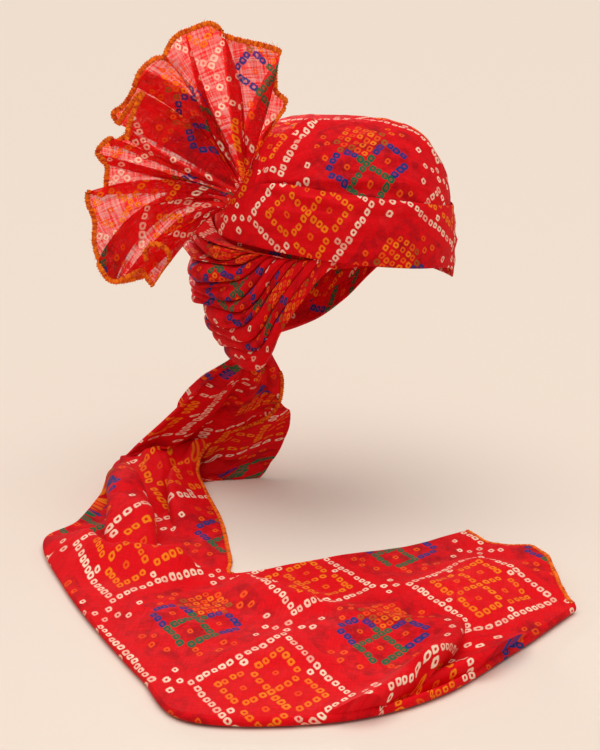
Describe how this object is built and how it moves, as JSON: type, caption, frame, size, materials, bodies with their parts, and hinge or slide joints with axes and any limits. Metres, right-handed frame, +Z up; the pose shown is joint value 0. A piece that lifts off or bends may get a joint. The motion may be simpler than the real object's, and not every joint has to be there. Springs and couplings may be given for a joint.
{
  "type": "tied turban",
  "caption": "Tied bandhani turban with a draped crown, a flat brow band, gathered rolls round the back, a pleated fan and a long tail lying on the table.",
  "frame": {"origin": "middle of the head opening at the height of the brow, where the turban sits on a head", "axes": "+X out through the brow, +Y to the wearer's left, +Z up"},
  "size_m": [0.5021, 0.5481, 0.441],
  "materials": {
    "wound_cloth": "matte",
    "sheer_cloth": "matte",
    "tail_cloth": "matte"
  },
  "bodies": {
    "root": {"crown_cap": "wound_cloth", "crown_wrap": "wound_cloth", "brow_band": "wound_cloth", "back_roll_1": "wound_cloth", "back_roll_2": "wound_cloth", "back_roll_3": "wound_cloth", "back_roll_4": "wound_cloth", "back_roll_5": "wound_cloth", "back_roll_6": "wound_cloth", "back_roll_7": "wound_cloth", "back_roll_8": "wound_cloth", "back_roll_9": "wound_cloth", "back_roll_10": "wound_cloth", "fan": "sheer_cloth", "tail": "tail_cloth"}
  },
  "joints": []
}
